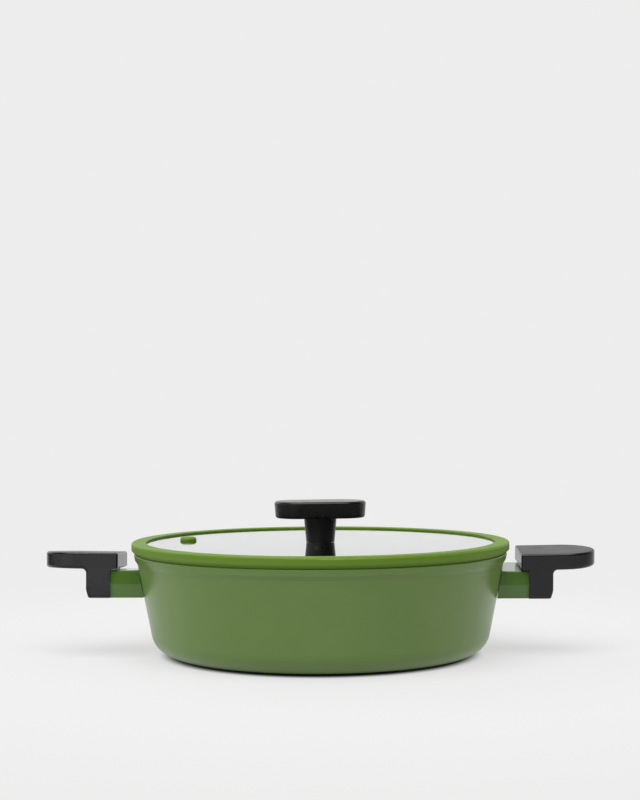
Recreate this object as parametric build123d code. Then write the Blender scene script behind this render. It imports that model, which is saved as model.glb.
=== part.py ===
from build123d import *
import os
from math import cos, radians, sin, tan

# Low two handled braising pot with a flat glass lid, in millimetres.
# The origin is under the middle of the pot, on the surface that it stands on.
# +Z is up, the two handles lie along +X and -X, and the front faces -Y.

# Pot body: forged bowl with a proud band at the rim
rim_radius = 143.3
pot_height = 78.0
wall_lean = 11.0
wall_thickness = 3.0
floor_thickness = 4.5
base_round = 17.8
rim_band_height = 4.8
rim_band_step = 1.4
rim_bevel_height = 3.1
rim_edge_round = 0.9
rim_crease_round = 0.8

# Base plate: steel disc under the floor, with rings of holes
base_plate_thickness = 1.5
base_plate_inset = 8.0
base_hole_diameter = 6.0
base_ring_spacing = 26.0
base_ring_count = 3
first_ring_hole_count = 6

# Handle sleeve: spacer between the wall and the grip
sleeve_length = 20.8
sleeve_width = 46.0
sleeve_height = 20.9
sleeve_draft = 5.0
sleeve_edge_round = 0.9
sleeve_wall_gap = 0.4
pocket_width = 36.0
pocket_height = 12.0
pocket_corner_round = 2.0
pocket_fit_gap = 0.3

# How the handles are fitted, a little off true: depth below the rim, twist, skew and reach
handle_twist = 3.6
right_below_rim = 23.05
right_skew = -0.7
right_reach = 0.0
left_below_rim = 23.6
left_skew = -2.2
left_reach = 0.7

# Handle grip: a leg against the sleeve, with a tab on top
grip_width = 49.0
leg_thickness = 18.6
leg_drop = 10.6
tab_rise = 11.45
tab_thickness = 12.05
tab_overhang_in = 5.8
tab_overhang_out = 34.1
tab_top_slope = 0.8
tab_underside_slope = 1.3
tab_corner_round = 1.2
tab_top_round = 1.5
grip_edge_round = 2.3
tab_root_round = 3.5
tab_heel_round = 1.8
tab_heel_root_round = 0.7
toe_width = 1.8
toe_height = 6.0
toe_upper_round = 12.0
toe_lower_round = 2.0
spigot_length = 8.0
spigot_end_gap = 1.2

# Handle fixing: boss on the wall, with a screw from the outer face of the grip
boss_weld_gap = 0.15
handle_screw_diameter = 5.0
handle_screw_head_diameter = 9.5
handle_screw_head_height = 3.5
handle_screw_engagement = 8.0
handle_screw_end_gap = 0.6
handle_screw_play = 0.25
thread_gap = 0.05
counterbore_diameter = 11.0
counterbore_depth = 7.0
spring_washer_diameter = 9.2
spring_washer_thickness = 1.2
spring_washer_slit = 1.0

# Lid glass
glass_thickness = 4.0
glass_grip = 5.3
glass_edge_round = 0.8
glass_edge_gap = 0.3
knob_hole_diameter = 8.0

# Lid rim: ring round the glass, seated in the mouth of the pot
lid_rim_overhang = 1.7
lid_rim_width = 11.3
lid_rim_height = 8.5
lid_rim_top_round = 1.6
lid_rim_bevel_width = 3.1
lid_rim_bevel_height = 2.7
lid_lip_height = 1.35
lid_small_round = 0.5
skirt_depth = 3.5
skirt_width = 2.6
skirt_gap = 0.8

# Vent grommet: plug with a steam hole
vent_from_edge = 33.9
vent_direction = 169.6
vent_head_diameter = 12.7
vent_head_height = 2.8
vent_head_round = 2.0
vent_neck_diameter = 8.0
vent_neck_gap = 0.15
vent_flange_diameter = 11.2
vent_flange_thickness = 1.6
steam_hole_diameter = 3.2
steam_funnel_diameter = 6.4
steam_funnel_depth = 0.9

# Knob: a bar on a tapered stem
knob_length = 71.0
knob_width = 39.0
knob_thickness = 12.9
knob_draft = 4.2
knob_turn = 7.0
knob_edge_round = 2.0
stem_height = 18.9
stem_top_radius = 12.6
stem_foot_radius = 10.9
stem_root_round = 1.2
stem_glass_gap = 0.3

# Knob fixing: gaskets, washer, insert and screw
gasket_radius = 8.6
gasket_thickness = 1.5
gasket_edge_gap = 0.2
gasket_neck_gap = 0.15
gasket_neck_setback = 0.1
knob_washer_radius = 7.5
knob_washer_thickness = 1.2
knob_washer_round = 0.4
insert_diameter = 8.0
insert_length = 12.0
insert_groove_width = 1.6
insert_groove_depth = 0.5
knob_screw_diameter = 5.0
knob_screw_head_diameter = 9.5
knob_screw_head_height = 3.2
knob_screw_engagement = 7.8
knob_screw_play = 0.2

# Screw heads: cross recess and tip as shares of the screw
recess_length_share = 0.6
recess_width_share = 0.17
recess_depth_share = 0.55
head_round_share = 0.3
tip_chamfer_share = 0.14

# How far a cut runs past the face that it leaves
overrun = 2.0

lean_slope = tan(radians(wall_lean))
body_bottom = base_plate_thickness
floor_top = body_bottom + floor_thickness
rim_crease_z = pot_height - rim_band_height
rim_bevel_foot_z = rim_crease_z - rim_bevel_height


def wall_radius(z):
    # Outer radius of the leaning wall, carried on past the band
    return rim_radius - rim_band_step - (pot_height - z) * lean_slope


def inner_radius(z):
    return wall_radius(z) - wall_thickness / cos(radians(wall_lean))


def turned(points, rounds):
    # A section of radius and height, rounded at its corners and turned about Z
    outline = FilletPolyline(*points, radius=rounds, close=True)
    return revolve(Plane.XZ * make_face(outline), Axis.Z)


def cylinder(diameter, bottom, top):
    return Pos(0, 0, bottom) * extrude(Circle(diameter / 2), top - bottom)


# Base of the flat underside, inside the round of the body
flat_base_radius = wall_radius(body_bottom) - base_round / tan(radians(90 + wall_lean) / 2)
base_plate_radius = flat_base_radius - base_plate_inset


def make_pot_shell():
    points = [
        (0, body_bottom),
        (wall_radius(body_bottom), body_bottom),
        (wall_radius(rim_bevel_foot_z), rim_bevel_foot_z),
        (rim_radius - rim_band_height * lean_slope, rim_crease_z),
        (rim_radius, pot_height),
        (inner_radius(pot_height), pot_height),
        (inner_radius(floor_top), floor_top),
        (0, floor_top),
    ]
    rounds = [
        0,
        base_round,
        rim_crease_round,
        rim_crease_round,
        rim_edge_round,
        rim_edge_round,
        base_round - wall_thickness,
        0,
    ]
    return turned(points, rounds)


def make_base_plate():
    plate = cylinder(2 * base_plate_radius, 0, base_plate_thickness)
    hole = cylinder(base_hole_diameter, -overrun, base_plate_thickness + overrun)
    holes = [hole]
    for ring in range(1, base_ring_count + 1):
        copies = ring * first_ring_hole_count
        holes += PolarLocations(ring * base_ring_spacing, copies) * hole
    return plate - holes


def beside_wall(gap):
    # What a piece that meets the leaning wall is cut with, so that the gap runs all along it
    spread = gap / cos(radians(wall_lean))
    low = body_bottom
    return turned(
        [
            (0, low),
            (wall_radius(low) + spread, low),
            (wall_radius(pot_height) + spread, pot_height),
            (0, pot_height),
        ],
        [0, 0, 0, 0],
    )


# A handle is drawn with its outward axis along X, starting at zero where it meets the wall,
# and is then turned a little and carried out to its place on the wall
def on_wall(below_rim, skew, reach):
    height = pot_height - below_rim
    turn = Rot(0, 0, skew) * Rot(handle_twist, 0, 0)
    return Pos(wall_radius(height) + reach, 0, height) * turn


right_place = on_wall(right_below_rim, right_skew, right_reach)
left_place = Rot(0, 0, 180) * on_wall(left_below_rim, left_skew, left_reach)
leg_in = sleeve_length
leg_out = leg_in + leg_thickness
boss_end = leg_in - spigot_length - spigot_end_gap
tab_in = leg_in - tab_overhang_in
tab_end = leg_out + tab_overhang_out
washer_seat = leg_out - counterbore_depth
head_seat = washer_seat + spring_washer_thickness
handle_screw_tip = boss_end - handle_screw_engagement


def along_x(section, start, end):
    # A section drawn in Y and Z, run along the handle's axis
    return extrude(Plane(origin=(start, 0, 0), z_dir=(1, 0, 0), x_dir=(0, 1, 0)) * section, end - start)


def handle_bore(diameter, start, end):
    return along_x(Circle(diameter / 2), start, end)


def make_handle_sleeve(place):
    half_height = sleeve_height / 2
    half_width = sleeve_width / 2
    half_face = half_width - half_height * tan(radians(sleeve_draft))
    outline = FilletPolyline(
        (half_width, 0),
        (half_face, half_height),
        (-half_face, half_height),
        (-half_width, 0),
        (-half_face, -half_height),
        (half_face, -half_height),
        radius=[0, sleeve_edge_round, sleeve_edge_round, 0, sleeve_edge_round, sleeve_edge_round],
        close=True,
    )
    pocket = RectangleRounded(pocket_width, pocket_height, pocket_corner_round)
    block = along_x(make_face(outline), -half_width, leg_in)
    block -= along_x(pocket, -half_width - overrun, leg_in + overrun)
    return place * block - beside_wall(sleeve_wall_gap)


def pocket_filler():
    # Section of what slides into the sleeve's pocket
    return RectangleRounded(
        pocket_width - 2 * pocket_fit_gap,
        pocket_height - 2 * pocket_fit_gap,
        pocket_corner_round - pocket_fit_gap,
    )


def make_handle_boss(place):
    block = along_x(pocket_filler(), -pocket_width / 2, boss_end)
    hole_diameter = handle_screw_diameter + 2 * thread_gap
    block -= handle_bore(hole_diameter, handle_screw_tip - handle_screw_end_gap, boss_end + overrun)
    return place * block - beside_wall(boss_weld_gap)


def make_handle_grip():
    tab_top = tab_rise + tab_thickness
    tip_top = tab_top + (tab_end - tab_in) * tan(radians(tab_top_slope))
    tip_rise = tab_rise + tab_overhang_out * tan(radians(tab_underside_slope))
    side = FilletPolyline(
        (tab_in, tab_top),
        (tab_end, tip_top),
        (tab_end, tip_rise),
        (leg_out, tab_rise),
        (leg_out, toe_height - leg_drop),
        (leg_out - toe_width, -leg_drop),
        (leg_in, -leg_drop),
        (leg_in, tab_rise),
        (tab_in, tab_rise),
        radius=[
            0,
            0,
            0,
            tab_root_round,
            toe_upper_round,
            toe_lower_round,
            0,
            tab_heel_root_round,
            tab_heel_round,
        ],
        close=True,
    )
    half_width = grip_width / 2
    block = extrude(Plane.XZ * make_face(side), half_width, both=True)

    # Seen from above, the tab ends in a half circle
    end_centre = tab_end - half_width
    plan = Pos(end_centre, 0) * Circle(half_width)
    flank = Polyline(
        (end_centre, half_width),
        (tab_in, half_width),
        (tab_in, -half_width),
        (end_centre, -half_width),
        close=True,
    )
    plan += make_face(flank)
    plan = fillet(plan.vertices().group_by(Axis.X)[0], tab_corner_round)
    block &= Pos(0, 0, -leg_drop - overrun) * extrude(plan, leg_drop + tip_top + 2 * overrun)

    # Rounds of the top edge, and of the edge that runs from the tab down to the toe
    block = fillet(block.faces().sort_by(Axis.Z)[-1].edges(), tab_top_round)
    tip = block.edges().sort_by_distance(Vertex(tab_end, 0, tip_rise))[0]
    block = fillet([tip], grip_edge_round)

    spigot = along_x(pocket_filler(), leg_in - spigot_length, leg_in + overrun)
    block += spigot
    hole_diameter = handle_screw_diameter + 2 * handle_screw_play
    block -= handle_bore(hole_diameter, leg_in - spigot_length - overrun, leg_out + overrun)
    block -= handle_bore(counterbore_diameter, washer_seat, leg_out + overrun)
    return block


def make_screw(diameter, head_diameter, head_height, length):
    # Pan head screw that points down, with the underside of its head at height zero
    head = cylinder(head_diameter, 0, head_height)
    head = fillet(head.edges().sort_by(Axis.Z)[-1], head_round_share * head_height)
    shank = cylinder(diameter, -length, 0)
    shank = chamfer(shank.edges().sort_by(Axis.Z)[0], tip_chamfer_share * diameter)
    slot = Rectangle(recess_length_share * head_diameter, recess_width_share * head_diameter)
    cross = slot + Rot(0, 0, 90) * slot
    recess_floor = head_height * (1 - recess_depth_share)
    return head + shank - Pos(0, 0, recess_floor) * extrude(cross, head_height)


def make_handle_screw():
    length = head_seat - handle_screw_tip
    screw = make_screw(
        handle_screw_diameter, handle_screw_head_diameter, handle_screw_head_height, length
    )
    return Pos(head_seat, 0, 0) * Rot(0, 90, 0) * screw


def make_handle_washer():
    ring = handle_bore(spring_washer_diameter, washer_seat, head_seat)
    bore_diameter = handle_screw_diameter + 2 * handle_screw_play
    ring -= handle_bore(bore_diameter, washer_seat - overrun, head_seat + overrun)
    slit = Pos(0, spring_washer_diameter / 2) * Rectangle(spring_washer_slit, spring_washer_diameter)
    ring -= along_x(slit, washer_seat - overrun, head_seat + overrun)
    return ring


# Heights and radii that the lid's pieces share
lid_rim_radius = rim_radius + lid_rim_overhang
lid_rim_top = pot_height + lid_rim_height
lid_lip_radius = lid_rim_radius - lid_rim_width
glass_top = lid_rim_top - lid_lip_height
glass_bottom = glass_top - glass_thickness
glass_radius = lid_lip_radius + glass_grip
vent_place = Rot(0, 0, vent_direction) * Pos(glass_radius - vent_from_edge, 0)


def make_lid_glass():
    glass = cylinder(2 * glass_radius, glass_bottom, glass_top)
    glass = fillet(glass.edges(), glass_edge_round)
    glass -= cylinder(knob_hole_diameter, glass_bottom - overrun, glass_top + overrun)
    vent_hole = vent_neck_diameter + 2 * vent_neck_gap
    glass -= vent_place * cylinder(vent_hole, glass_bottom - overrun, glass_top + overrun)
    return glass


def make_lid_rim():
    skirt_bottom = pot_height - skirt_depth
    skirt_outer = inner_radius(skirt_bottom) - skirt_gap
    skirt_inner = skirt_outer - skirt_width
    groove_radius = glass_radius + glass_edge_gap
    section = [
        ((lid_lip_radius, lid_rim_top), lid_small_round),
        ((lid_rim_radius, lid_rim_top), lid_rim_top_round),
        ((lid_rim_radius, pot_height + lid_rim_bevel_height), lid_small_round),
        ((lid_rim_radius - lid_rim_bevel_width, pot_height), lid_small_round),
        ((skirt_outer, pot_height), 0),
        ((skirt_outer, skirt_bottom), lid_small_round),
        ((skirt_inner, skirt_bottom), lid_small_round),
        ((skirt_inner, pot_height), 0),
        ((lid_lip_radius, pot_height), lid_small_round),
        ((lid_lip_radius, glass_bottom), 0),
        ((groove_radius, glass_bottom), 0),
        ((groove_radius, glass_top), 0),
        ((lid_lip_radius, glass_top), 0),
    ]
    return turned([point for point, size in section], [size for point, size in section])


def make_vent_grommet():
    head_top = glass_top + vent_head_height
    flange_bottom = glass_bottom - vent_flange_thickness
    section = [
        ((steam_hole_diameter / 2, head_top - steam_funnel_depth), 0),
        ((steam_funnel_diameter / 2, head_top), 0),
        ((vent_head_diameter / 2, head_top), vent_head_round),
        ((vent_head_diameter / 2, glass_top), 0),
        ((vent_neck_diameter / 2, glass_top), 0),
        ((vent_neck_diameter / 2, glass_bottom), 0),
        ((vent_flange_diameter / 2, glass_bottom), 0),
        ((vent_flange_diameter / 2, flange_bottom), vent_flange_thickness / 2),
        ((steam_hole_diameter / 2, flange_bottom), 0),
    ]
    return vent_place * turned([point for point, size in section], [size for point, size in section])


# Heights of the knob's pieces
stem_foot = glass_top + stem_glass_gap
bar_bottom = glass_top + stem_height
insert_bottom = glass_top + gasket_thickness
lower_gasket_bottom = glass_bottom - gasket_thickness
knob_head_seat = lower_gasket_bottom - knob_washer_thickness
knob_screw_tip = insert_bottom + knob_screw_engagement


def make_knob_grip():
    spread = knob_thickness * tan(radians(knob_draft))
    bottom = SlotOverall(knob_length - 2 * spread, knob_width - 2 * spread)
    bar = Pos(0, 0, bar_bottom) * extrude(bottom, knob_thickness, taper=-knob_draft)
    bar = fillet(bar.edges().filter_by(Plane.XY), knob_edge_round)
    stem = turned(
        [
            (0, stem_foot),
            (stem_foot_radius, stem_foot),
            (stem_top_radius, bar_bottom),
            (stem_top_radius + stem_root_round, bar_bottom),
            (stem_top_radius + stem_root_round, bar_bottom + knob_edge_round),
            (0, bar_bottom + knob_edge_round),
        ],
        [0, 0, stem_root_round / 2, 0, 0, 0],
    )
    knob = bar + stem
    knob -= cylinder(2 * (gasket_radius + gasket_edge_gap), stem_foot - overrun, insert_bottom)
    knob -= cylinder(insert_diameter + 2 * thread_gap, insert_bottom, insert_bottom + insert_length)
    return Rot(0, 0, knob_turn) * knob


def make_knob_insert():
    # Brass body with a groove that the moulding locks into
    insert = cylinder(insert_diameter, insert_bottom, insert_bottom + insert_length)
    groove_bottom = insert_bottom + (insert_length - insert_groove_width) / 2
    groove_top = groove_bottom + insert_groove_width
    groove = cylinder(insert_diameter + 2 * overrun, groove_bottom, groove_top)
    groove -= cylinder(insert_diameter - 2 * insert_groove_depth, groove_bottom, groove_top)
    insert -= groove
    insert -= cylinder(
        knob_screw_diameter + 2 * thread_gap,
        insert_bottom - overrun,
        knob_screw_tip + insert_groove_width,
    )
    return insert


def make_knob_upper_gasket():
    ring = cylinder(2 * gasket_radius, glass_top, insert_bottom)
    return ring - cylinder(
        knob_screw_diameter + 2 * knob_screw_play, glass_top - overrun, insert_bottom + overrun
    )


def make_knob_lower_gasket():
    gasket = cylinder(2 * gasket_radius, lower_gasket_bottom, glass_bottom)
    neck_diameter = knob_hole_diameter - 2 * gasket_neck_gap
    gasket += cylinder(neck_diameter, glass_bottom, glass_top - gasket_neck_setback)
    return gasket - cylinder(
        knob_screw_diameter + 2 * knob_screw_play, lower_gasket_bottom - overrun, glass_top + overrun
    )


def make_knob_washer():
    washer = cylinder(2 * knob_washer_radius, knob_head_seat, lower_gasket_bottom)
    washer = fillet(washer.edges().sort_by(Axis.Z)[0], knob_washer_round)
    return washer - cylinder(
        knob_screw_diameter + 2 * knob_screw_play,
        knob_head_seat - overrun,
        lower_gasket_bottom + overrun,
    )


def make_knob_screw():
    length = knob_screw_tip - knob_head_seat
    screw = make_screw(knob_screw_diameter, knob_screw_head_diameter, knob_screw_head_height, length)
    return Pos(0, 0, knob_head_seat) * Rot(180, 0, 0) * screw


pieces = {
    "pot_shell": make_pot_shell(),
    "base_plate": make_base_plate(),
    "lid_glass": make_lid_glass(),
    "lid_rim": make_lid_rim(),
    "vent_grommet": make_vent_grommet(),
    "knob_grip": make_knob_grip(),
    "knob_insert": make_knob_insert(),
    "knob_upper_gasket": make_knob_upper_gasket(),
    "knob_lower_gasket": make_knob_lower_gasket(),
    "knob_washer": make_knob_washer(),
    "knob_screw": make_knob_screw(),
}

# The grip, screw and washer are the same on both sides
grip = make_handle_grip()
handle_screw = make_handle_screw()
handle_washer = make_handle_washer()
for side, place in {"right": right_place, "left": left_place}.items():
    pieces["handle_sleeve_" + side] = make_handle_sleeve(place)
    pieces["handle_boss_" + side] = make_handle_boss(place)
    pieces["handle_grip_" + side] = place * grip
    pieces["handle_screw_" + side] = place * handle_screw
    pieces["handle_washer_" + side] = place * handle_washer

os.makedirs("parts", exist_ok=True)
for name, piece in pieces.items():
    export_step(piece, "parts/" + name + ".step")
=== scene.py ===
import math

import bpy
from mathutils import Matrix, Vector


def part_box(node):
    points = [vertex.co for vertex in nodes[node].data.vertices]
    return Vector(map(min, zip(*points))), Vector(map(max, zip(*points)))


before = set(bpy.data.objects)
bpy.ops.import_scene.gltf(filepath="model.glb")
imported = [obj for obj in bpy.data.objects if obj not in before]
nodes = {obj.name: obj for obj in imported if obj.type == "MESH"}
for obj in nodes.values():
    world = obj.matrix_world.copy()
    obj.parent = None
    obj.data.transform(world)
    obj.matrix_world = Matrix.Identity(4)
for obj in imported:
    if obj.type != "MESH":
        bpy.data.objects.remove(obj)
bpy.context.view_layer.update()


# Pot body
# A forged aluminium bowl with a satin green ceramic coating outside and a black flecked one inside.
# Both are sprayed on and baked, so the gloss varies slightly and the skin has a faint orange peel.
# The two meet in the middle of the wall, of the round at its foot and of the floor.
MM = 0.001
NOISE_SPAN = (0.3, 0.7)


def linear(hex_colour):
    """The linear colour of an sRGB hex value."""
    values = [int(hex_colour[i:i + 2], 16) / 255 for i in (1, 3, 5)]
    return [v / 12.92 if v <= 0.04045 else ((v + 0.055) / 1.055) ** 2.4 for v in values] + [1.0]


def add(tree, kind, inputs=None, **settings):
    """One more shader node, with its settings, and with its inputs set or linked."""
    made = tree.nodes.new(kind)
    for name, value in settings.items():
        setattr(made, name, value)
    for name, value in (inputs or {}).items():
        if isinstance(value, bpy.types.NodeSocket):
            tree.links.new(value, made.inputs[name])
        else:
            made.inputs[name].default_value = value
    return made


def new_material(name):
    """An empty material, and its node tree."""
    material = bpy.data.materials.new(name)
    material.use_nodes = True
    material.node_tree.nodes.clear()
    return material, material.node_tree


def give(material, *names):
    """Puts the material on CAD nodes in place of their plain one."""
    for name in names:
        mesh = nodes[name].data
        mesh.materials.clear()
        mesh.materials.append(material)


def scaled(millimetres):
    """The scale of a noise whose features are about this wide."""
    return 1 / (millimetres * MM)


def mottled(tree, place, width, low, high):
    """A value that wanders between low and high over about this width in millimetres."""
    noise = add(tree, "ShaderNodeTexNoise", {"Vector": place, "Scale": scaled(width), "Detail": 3.0})
    spread = add(tree, "ShaderNodeMapRange", {
        "Value": noise.outputs["Fac"], "From Min": NOISE_SPAN[0], "From Max": NOISE_SPAN[1],
        "To Min": low, "To Max": high})
    return spread.outputs["Result"]


def grained(tree, place, width, depth, detail):
    """The normal of a skin with a grain this wide and this deep in millimetres, broken up by detail."""
    noise = add(tree, "ShaderNodeTexNoise", {"Vector": place, "Scale": scaled(width), "Detail": detail})
    bump = add(tree, "ShaderNodeBump", {"Height": noise.outputs["Fac"], "Distance": depth * MM})
    return bump.outputs["Normal"]


POT_GREEN = "#617D39"
POT_GREEN_THIN = "#65813D"
POT_LINING = "#161616"
POT_LINING_FLECK = "#3A3A3A"
FLECK_WIDTH = 0.8
FLECK_EDGE = (0.66, 0.7)
WALL_LEAN = math.radians(11)
ROUND_CENTRE_INSET = 30.8
ROUND_CENTRE_HEIGHT = 20.0
ROUND_RADIUS = 16.3

pot_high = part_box("pot_shell")[1]


def pot_coating():
    material, tree = new_material("sprayed_ceramic_coating")
    place = add(tree, "ShaderNodeTexCoord").outputs["Object"]
    split = add(tree, "ShaderNodeSeparateXYZ", {"Vector": place}).outputs
    flat = add(tree, "ShaderNodeCombineXYZ", {"X": split["X"], "Y": split["Y"]})
    radius = add(tree, "ShaderNodeVectorMath", {0: flat.outputs["Vector"]}, operation="LENGTH")
    centre_radius = pot_high.x - ROUND_CENTRE_INSET * MM
    centre_height = ROUND_CENTRE_HEIGHT * MM
    above = add(tree, "ShaderNodeMath", {
        0: split["Z"], 1: centre_height}, operation="SUBTRACT", use_clamp=True)
    below = add(tree, "ShaderNodeMath", {
        0: centre_height, 1: split["Z"]}, operation="SUBTRACT", use_clamp=True)
    upright = add(tree, "ShaderNodeMath", {
        0: above.outputs["Value"], 1: -math.tan(WALL_LEAN), 2: radius.outputs["Value"]},
        operation="MULTIPLY_ADD")
    beyond = add(tree, "ShaderNodeMath", {
        0: upright.outputs["Value"], 1: centre_radius}, operation="SUBTRACT", use_clamp=True)
    corner = add(tree, "ShaderNodeCombineXYZ", {
        "X": beyond.outputs["Value"], "Y": below.outputs["Value"]})
    reach = add(tree, "ShaderNodeVectorMath", {0: corner.outputs["Vector"]}, operation="LENGTH")
    inside = add(tree, "ShaderNodeMath", {
        0: reach.outputs["Value"], 1: ROUND_RADIUS * MM}, operation="LESS_THAN")

    green = add(tree, "ShaderNodeMix", {
        "Factor": mottled(tree, place, width=40, low=0.0, high=1.0),
        "A": linear(POT_GREEN),
        "B": linear(POT_GREEN_THIN)}, data_type="RGBA")
    speck = add(tree, "ShaderNodeTexNoise", {"Vector": place, "Scale": scaled(FLECK_WIDTH), "Detail": 1.0})
    flecked = add(tree, "ShaderNodeMapRange", {
        "Value": speck.outputs["Fac"], "From Min": FLECK_EDGE[0], "From Max": FLECK_EDGE[1]})
    lining = add(tree, "ShaderNodeMix", {
        "Factor": flecked.outputs["Result"],
        "A": linear(POT_LINING),
        "B": linear(POT_LINING_FLECK)}, data_type="RGBA")
    colour = add(tree, "ShaderNodeMix", {
        "Factor": inside.outputs["Value"],
        "A": green.outputs["Result"],
        "B": lining.outputs["Result"]}, data_type="RGBA")
    shader = add(tree, "ShaderNodeBsdfPrincipled", {
        "Base Color": colour.outputs["Result"],
        "Roughness": mottled(tree, place, width=25, low=0.28, high=0.34),
        "IOR": 1.5,
        "Normal": grained(tree, place, width=1.4, depth=0.012, detail=2.0),
    })
    add(tree, "ShaderNodeOutputMaterial", {"Surface": shader.outputs["BSDF"]})
    return material


give(pot_coating(), "pot_shell")


# Base plate
# A stainless steel disc pressed into the underside, so that the pot heats on an induction hob.
# It is faced on a lathe, which leaves fine rings. They are drawn coarser than the real ones, to show at all.
BASE_STEEL = "#B9B7B2"
RING_PITCH = 1.9
RING_DEPTH = 0.01


def turned_steel():
    """A ring texture of scale 1 has its rings a tenth of pi apart."""
    material, tree = new_material("turned_stainless_steel")
    place = add(tree, "ShaderNodeTexCoord").outputs["Object"]
    rings = add(tree, "ShaderNodeTexWave", {"Vector": place, "Scale": math.pi / 10 / (RING_PITCH * MM)},
                wave_type="RINGS", rings_direction="Z")
    bump = add(tree, "ShaderNodeBump", {"Height": rings.outputs["Fac"], "Distance": RING_DEPTH * MM})
    shader = add(tree, "ShaderNodeBsdfPrincipled", {
        "Base Color": linear(BASE_STEEL),
        "Metallic": 1.0,
        "Roughness": mottled(tree, place, width=12, low=0.3, high=0.42),
        "Normal": bump.outputs["Normal"],
    })
    add(tree, "ShaderNodeOutputMaterial", {"Surface": shader.outputs["BSDF"]})
    return material


give(turned_steel(), "base_plate")


# Handle sleeves and bosses
# The sleeve is a die cast spacer in gloss green paint, which mirrors the room more sharply than the pot.
# The boss behind it is bare cast aluminium, dull grey and grainy, welded to the wall.
SLEEVE_GREEN = "#4B6F24"
BOSS_ALUMINIUM = "#C9CACC"


def gloss_paint():
    material, tree = new_material("gloss_enamel_paint")
    place = add(tree, "ShaderNodeTexCoord").outputs["Object"]
    shader = add(tree, "ShaderNodeBsdfPrincipled", {
        "Base Color": linear(SLEEVE_GREEN),
        "Roughness": mottled(tree, place, width=8, low=0.14, high=0.18),
        "IOR": 1.5,
        "Coat Weight": 0.3,
        "Coat Roughness": 0.06,
        "Normal": grained(tree, place, width=1.8, depth=0.01, detail=1.0),
    })
    add(tree, "ShaderNodeOutputMaterial", {"Surface": shader.outputs["BSDF"]})
    return material


def cast_aluminium():
    material, tree = new_material("cast_aluminium")
    place = add(tree, "ShaderNodeTexCoord").outputs["Object"]
    shader = add(tree, "ShaderNodeBsdfPrincipled", {
        "Base Color": linear(BOSS_ALUMINIUM),
        "Metallic": 1.0,
        "Roughness": mottled(tree, place, width=4, low=0.45, high=0.6),
        "Normal": grained(tree, place, width=0.6, depth=0.03, detail=3.0),
    })
    add(tree, "ShaderNodeOutputMaterial", {"Surface": shader.outputs["BSDF"]})
    return material


give(gloss_paint(), "handle_sleeve_right", "handle_sleeve_left")
give(cast_aluminium(), "handle_boss_right", "handle_boss_left")


# Grips and knob
# Black phenolic, pressed hot in steel moulds with a fine spark finish, so that it is satin and even.
# The grip's mould is sparked coarser where it makes the upper face, so that face is greyer.
PHENOLIC_BLACK = "#101010"
LOOKS_UP = (0.5, 0.95)


def phenolic(name, side_rough, top_rough):
    material, tree = new_material(name)
    coordinates = add(tree, "ShaderNodeTexCoord").outputs
    place = coordinates["Object"]
    facing = add(tree, "ShaderNodeSeparateXYZ", {"Vector": coordinates["Normal"]}).outputs["Z"]
    rough = add(tree, "ShaderNodeMapRange", {
        "Value": facing, "From Min": LOOKS_UP[0], "From Max": LOOKS_UP[1],
        "To Min": side_rough, "To Max": top_rough}, interpolation_type="SMOOTHSTEP")
    uneven = mottled(tree, place, width=15, low=-0.02, high=0.02)
    roughness = add(tree, "ShaderNodeMath", {0: rough.outputs["Result"], 1: uneven}, operation="ADD")
    shader = add(tree, "ShaderNodeBsdfPrincipled", {
        "Base Color": linear(PHENOLIC_BLACK),
        "Roughness": roughness.outputs["Value"],
        "IOR": 1.43,
        "Normal": grained(tree, place, width=0.35, depth=0.015, detail=2.0),
    })
    add(tree, "ShaderNodeOutputMaterial", {"Surface": shader.outputs["BSDF"]})
    return material


give(phenolic("moulded_black_phenolic_grip", side_rough=0.2, top_rough=0.36),
     "handle_grip_right", "handle_grip_left")
give(phenolic("moulded_black_phenolic_knob", side_rough=0.28, top_rough=0.28), "knob_grip")


# Screws and washers
# Plain stainless steel. The screws are cold headed and the washers cut from wire and sheet, then all are
# tumbled, which leaves them bright with softened reflections.
SCREW_STEEL = "#C4C4C2"


def bright_steel():
    material, tree = new_material("tumbled_stainless_steel")
    place = add(tree, "ShaderNodeTexCoord").outputs["Object"]
    shader = add(tree, "ShaderNodeBsdfPrincipled", {
        "Base Color": linear(SCREW_STEEL),
        "Metallic": 1.0,
        "Roughness": mottled(tree, place, width=2, low=0.22, high=0.34),
    })
    add(tree, "ShaderNodeOutputMaterial", {"Surface": shader.outputs["BSDF"]})
    return material


give(bright_steel(), "handle_screw_right", "handle_screw_left", "handle_washer_right",
     "handle_washer_left", "knob_washer", "knob_screw")


# Lid glass
# A disc of toughened float glass, drilled for the knob and the vent, with its edges ground.
# It is clear from above and faintly green through its thickness.
GLASS_TINT = "#F2FAF5"


def float_glass():
    material, tree = new_material("toughened_float_glass")
    place = add(tree, "ShaderNodeTexCoord").outputs["Object"]
    shader = add(tree, "ShaderNodeBsdfPrincipled", {
        "Base Color": linear(GLASS_TINT),
        "Roughness": mottled(tree, place, width=30, low=0.0, high=0.02),
        "IOR": 1.52,
        "Transmission Weight": 1.0,
    })
    add(tree, "ShaderNodeOutputMaterial", {"Surface": shader.outputs["BSDF"]})
    return material


give(float_glass(), "lid_glass")


# Lid rim and vent
# Green silicone, moulded in one ring round the glass; the vent plug is pushed through its hole.
# Its skin is satin, with a very fine grain from the mould.
SILICONE_GREEN = "#5D7D1D"


def silicone(name, colour, rough):
    material, tree = new_material(name)
    place = add(tree, "ShaderNodeTexCoord").outputs["Object"]
    shader = add(tree, "ShaderNodeBsdfPrincipled", {
        "Base Color": linear(colour),
        "Roughness": mottled(tree, place, width=20, low=rough, high=rough + 0.06),
        "IOR": 1.43,
        "Normal": grained(tree, place, width=0.5, depth=0.01, detail=2.0),
    })
    add(tree, "ShaderNodeOutputMaterial", {"Surface": shader.outputs["BSDF"]})
    return material


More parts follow.
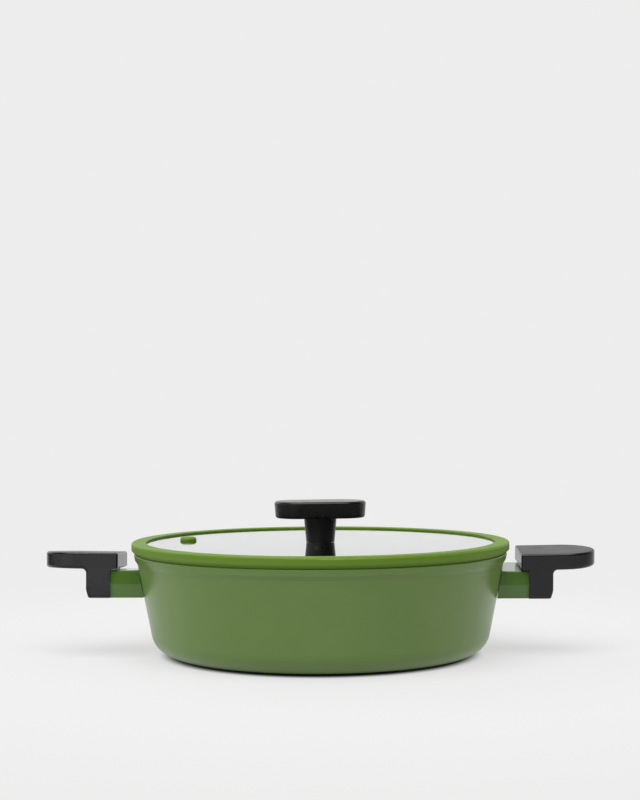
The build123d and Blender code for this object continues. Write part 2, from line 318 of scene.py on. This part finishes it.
give(silicone("satin_green_silicone", SILICONE_GREEN, rough=0.52), "lid_rim", "vent_grommet")


# Knob gaskets and insert
# Dull black silicone washers keep the stem and the steel off the glass. The screw bites in a turned brass
# insert, moulded into the stem.
GASKET_BLACK = "#1E1E1E"
INSERT_BRASS = "#D6B36A"


def turned_brass():
    material, tree = new_material("turned_brass")
    place = add(tree, "ShaderNodeTexCoord").outputs["Object"]
    shader = add(tree, "ShaderNodeBsdfPrincipled", {
        "Base Color": linear(INSERT_BRASS),
        "Metallic": 1.0,
        "Roughness": mottled(tree, place, width=3, low=0.25, high=0.38),
    })
    add(tree, "ShaderNodeOutputMaterial", {"Surface": shader.outputs["BSDF"]})
    return material


give(silicone("black_silicone", GASKET_BLACK, rough=0.6), "knob_upper_gasket", "knob_lower_gasket")
give(turned_brass(), "knob_insert")


# Studio floor
# A pale paper sheet that glows, and melts into the backdrop on every side. Its glow fades out right under
# the pot, which paints the pot's contact shadow on the sheet.
# Its mirror image in the pot, and the light that it throws on the pot, end in front and at the sides, where
# a real sheet has its edges.
BACKDROP = "#EDEDED"
FLOOR_PAPER = "#EDEDED"
FLOOR_RADIUS = 60.0
GLOW_SHARE = 0.7
GLOW = 0.955
GLOW_HELD_BACK = 0.62
# Radii from the pot's centre within which the floor's glow fades out: a painted contact shadow under the
# pot.
PAINTED_SHADOW_UNDER_POT = (112.5 * MM, 125 * MM)
SIDE_END = (1.0, 0.5)
SIDE_SPREAD = 0.25
MELT = (0.2, 0.6)
FRONT_END = (-1.1, -0.6)


def studio_floor():
    corners = [(x * FLOOR_RADIUS, y * FLOOR_RADIUS, 0) for x, y in ((-1, -1), (1, -1), (1, 1), (-1, 1))]
    mesh = bpy.data.meshes.new("studio_floor")
    mesh.from_pydata(corners, [], [(0, 1, 2, 3)])
    floor = bpy.data.objects.new("studio_floor", mesh)
    bpy.context.scene.collection.objects.link(floor)

    material, tree = new_material("matt_studio_paper")
    place = add(tree, "ShaderNodeNewGeometry").outputs["Position"]
    split = add(tree, "ShaderNodeSeparateXYZ", {"Vector": place}).outputs
    away = add(tree, "ShaderNodeVectorMath", {0: place}, operation="LENGTH").outputs["Value"]
    aside = add(tree, "ShaderNodeMath", {0: split["X"]}, operation="ABSOLUTE")
    spread = add(tree, "ShaderNodeMath", {
        0: split["Y"], 1: -SIDE_SPREAD, 2: aside.outputs["Value"]}, operation="MULTIPLY_ADD")
    front = add(tree, "ShaderNodeMapRange", {
        "Value": split["Y"], "From Min": FRONT_END[0], "From Max": FRONT_END[1]},
        interpolation_type="SMOOTHSTEP")
    side = add(tree, "ShaderNodeMapRange", {
        "Value": spread.outputs["Value"], "From Min": SIDE_END[0], "From Max": SIDE_END[1]},
        interpolation_type="SMOOTHSTEP")
    sheet = add(tree, "ShaderNodeMath", {
        0: front.outputs["Result"], 1: side.outputs["Result"]}, operation="MULTIPLY")
    path = add(tree, "ShaderNodeLightPath").outputs
    seen = add(tree, "ShaderNodeMath", {
        0: path["Is Camera Ray"], 1: path["Is Transmission Ray"]}, operation="MAXIMUM")
    lit = add(tree, "ShaderNodeMath", {
        0: sheet.outputs["Value"], 1: seen.outputs["Value"]}, operation="MAXIMUM").outputs["Value"]

    # Painted contact shadow: the glow fades to nothing between these radii from the pot's centre.
    outside_painted_shadow = add(tree, "ShaderNodeMapRange", {
        "Value": away, "From Min": PAINTED_SHADOW_UNDER_POT[0], "From Max": PAINTED_SHADOW_UNDER_POT[1], "To Max": GLOW},
        interpolation_type="SMOOTHSTEP")
    shown = add(tree, "ShaderNodeMath", {0: outside_painted_shadow.outputs["Result"], 1: lit}, operation="MULTIPLY")
    kept = add(tree, "ShaderNodeMath", {
        0: path["Is Diffuse Ray"], 1: -GLOW_HELD_BACK, 2: 1.0}, operation="MULTIPLY_ADD")
    strength = add(tree, "ShaderNodeMath", {
        0: shown.outputs["Value"], 1: kept.outputs["Value"]}, operation="MULTIPLY")
    paper = add(tree, "ShaderNodeBsdfDiffuse", {"Color": linear(FLOOR_PAPER)})
    glow = add(tree, "ShaderNodeEmission", {
        "Color": linear(BACKDROP), "Strength": strength.outputs["Value"]})
    near = add(tree, "ShaderNodeMixShader", {
        0: GLOW_SHARE, 1: paper.outputs["BSDF"], 2: glow.outputs["Emission"]})
    far = add(tree, "ShaderNodeEmission", {"Color": linear(BACKDROP), "Strength": lit})
    melting = add(tree, "ShaderNodeMapRange", {
        "Value": away, "From Min": MELT[0], "From Max": MELT[1]}, interpolation_type="SMOOTHSTEP")
    both = add(tree, "ShaderNodeMixShader", {
        0: melting.outputs["Result"], 1: near.outputs["Shader"], 2: far.outputs["Emission"]})
    add(tree, "ShaderNodeOutputMaterial", {"Surface": both.outputs["Shader"]})
    mesh.materials.append(material)
    return floor


studio_floor()


# Studio light
# Three wide soft lamps, overhead and at each side, light the pot. They don't show in it: its glossy faces
# mirror a soft shine overhead, a dark room that is brighter on the left, and the backdrop low behind.
ROOM_FRONT = 0.1
ROOM_FRONT_LEFT = 2.5
ROOM_BACK_LOW = 1.05
ROOM_BACK_HIGH = 0.55
ROOM_BACK_LEFT = 2.0
BEHIND_EDGE = (0.15, 0.6)
FRONT_LEFT_EDGE = (-0.2, 0.0)
FRONT_TOP_EDGE = (0.05, 0.14)
BACK_LEFT_EDGE = (-0.7, 0.0)
BACK_TOP_EDGE = (0.15, 0.5)
MIRROR_TOP_EDGE = (0.1, 0.4)
MIRROR_LIFT = 0.22
SOFTBOX_SHINE = 3.8
SOFTBOX_EDGE = (0.8, 0.93)
LAMP_ANGLE = math.radians(60)
OVERHEAD_LAMP = ("overhead_softbox", (-0.08, -0.35, 0.9), 2.7)
LEFT_LAMP = ("left_softbox", (-0.93, -0.33, 0.23), 0.9)
RIGHT_LAMP = ("right_softbox", (0.93, -0.33, 0.23), 0.85)


def studio_room():
    """The edges are heights and sides of the direction looked in, from -1 to 1."""
    world = bpy.data.worlds.new("studio")
    bpy.context.scene.world = world
    world.use_nodes = True
    tree = world.node_tree
    tree.nodes.clear()
    look = add(tree, "ShaderNodeTexCoord").outputs["Generated"]
    split = add(tree, "ShaderNodeSeparateXYZ", {"Vector": look}).outputs
    path = add(tree, "ShaderNodeLightPath").outputs

    front_low = add(tree, "ShaderNodeMapRange", {
        "Value": split["X"], "From Min": FRONT_LEFT_EDGE[0], "From Max": FRONT_LEFT_EDGE[1],
        "To Min": ROOM_FRONT_LEFT, "To Max": ROOM_FRONT}, interpolation_type="SMOOTHSTEP")
    front = add(tree, "ShaderNodeMapRange", {
        "Value": split["Z"], "From Min": FRONT_TOP_EDGE[0], "From Max": FRONT_TOP_EDGE[1],
        "To Min": front_low.outputs["Result"], "To Max": ROOM_FRONT}, interpolation_type="SMOOTHSTEP")
    back_high = add(tree, "ShaderNodeMapRange", {
        "Value": split["X"], "From Min": BACK_LEFT_EDGE[0], "From Max": BACK_LEFT_EDGE[1],
        "To Min": ROOM_BACK_LEFT, "To Max": ROOM_BACK_HIGH}, interpolation_type="SMOOTHSTEP")
    back = add(tree, "ShaderNodeMapRange", {
        "Value": split["Z"], "From Min": BACK_TOP_EDGE[0], "From Max": BACK_TOP_EDGE[1],
        "To Min": ROOM_BACK_LOW, "To Max": back_high.outputs["Result"]}, interpolation_type="SMOOTHSTEP")
    behind = add(tree, "ShaderNodeMapRange", {
        "Value": split["Y"], "From Min": BEHIND_EDGE[0], "From Max": BEHIND_EDGE[1]},
        interpolation_type="SMOOTHSTEP")
    level = add(tree, "ShaderNodeMix", {
        "Factor": behind.outputs["Result"], "A": front.outputs["Result"], "B": back.outputs["Result"]})

    overhead = Vector(OVERHEAD_LAMP[1]).normalized()
    towards = add(tree, "ShaderNodeVectorMath", {0: look, 1: overhead}, operation="DOT_PRODUCT")
    shine = add(tree, "ShaderNodeMapRange", {
        "Value": towards.outputs["Value"], "From Min": SOFTBOX_EDGE[0], "From Max": SOFTBOX_EDGE[1],
        "To Max": SOFTBOX_SHINE}, interpolation_type="SMOOTHSTEP")
    brightness = add(tree, "ShaderNodeMath", {
        0: shine.outputs["Result"], 1: path["Is Glossy Ray"], 2: level.outputs["Result"]},
        operation="MULTIPLY_ADD")
    room = add(tree, "ShaderNodeBackground", {
        "Color": (1, 1, 1, 1), "Strength": brightness.outputs["Value"]})

    low = add(tree, "ShaderNodeMapRange", {
        "Value": split["Z"], "From Min": MIRROR_TOP_EDGE[0], "From Max": MIRROR_TOP_EDGE[1],
        "To Min": 1.0, "To Max": 0.0}, interpolation_type="SMOOTHSTEP")
    behind_low = add(tree, "ShaderNodeMath", {
        0: behind.outputs["Result"], 1: low.outputs["Result"]}, operation="MULTIPLY")
    mirrored = add(tree, "ShaderNodeMath", {
        0: path["Is Glossy Ray"], 1: behind_low.outputs["Value"]}, operation="MULTIPLY")
    lift = add(tree, "ShaderNodeMath", {
        0: mirrored.outputs["Value"], 1: MIRROR_LIFT, 2: 1.0}, operation="MULTIPLY_ADD")
    backdrop = add(tree, "ShaderNodeBackground", {
        "Color": linear(BACKDROP), "Strength": lift.outputs["Value"]})
    through = add(tree, "ShaderNodeMath", {
        0: path["Is Transmission Ray"], 1: mirrored.outputs["Value"]}, operation="MAXIMUM")
    seen = add(tree, "ShaderNodeMath", {
        0: path["Is Camera Ray"], 1: through.outputs["Value"]}, operation="MAXIMUM")
    both = add(tree, "ShaderNodeMixShader", {
        0: seen.outputs["Value"], 1: room.outputs["Background"], 2: backdrop.outputs["Background"]})
    add(tree, "ShaderNodeOutputWorld", {"Surface": both.outputs["Shader"]})


def softbox(name, place, strength):
    lamp = bpy.data.lights.new(name, "SUN")
    lamp.energy = strength
    lamp.angle = LAMP_ANGLE
    holder = bpy.data.objects.new(name, lamp)
    holder.rotation_euler = Vector(place).to_track_quat("Z", "Y").to_euler()
    holder.visible_glossy = False
    holder.visible_transmission = False
    bpy.context.scene.collection.objects.link(holder)


studio_room()
for name, place, strength in (OVERHEAD_LAMP, LEFT_LAMP, RIGHT_LAMP):
    softbox(name, place, strength)


# Camera
# Level, a little above the knob and square to the line of the handles, with a long lens.
# It is rolled by a third of a degree, so that the pot leans in the picture by as much.
CAMERA_DISTANCE = 1.3
CAMERA_HEIGHT = 0.19397
FOCAL_PIXELS = 1684.17
FRAME_HEIGHT_PIXELS = 800
SENSOR = 36.0
CAMERA_ROLL = 0.005
FRAMING_SHIFT = (0.31, 0.92)


def studio_camera():
    data = bpy.data.cameras.new("camera")
    data.sensor_width = SENSOR
    data.lens = FOCAL_PIXELS / FRAME_HEIGHT_PIXELS * SENSOR
    data.shift_x = FRAMING_SHIFT[0] / FRAME_HEIGHT_PIXELS
    data.shift_y = FRAMING_SHIFT[1] / FRAME_HEIGHT_PIXELS
    camera = bpy.data.objects.new("camera", data)
    camera.location = (0, -CAMERA_DISTANCE, CAMERA_HEIGHT)
    camera.rotation_euler = (math.pi / 2, CAMERA_ROLL, 0)
    bpy.context.scene.collection.objects.link(camera)
    bpy.context.scene.camera = camera


studio_camera()
bpy.context.scene.view_settings.view_transform = "Standard"
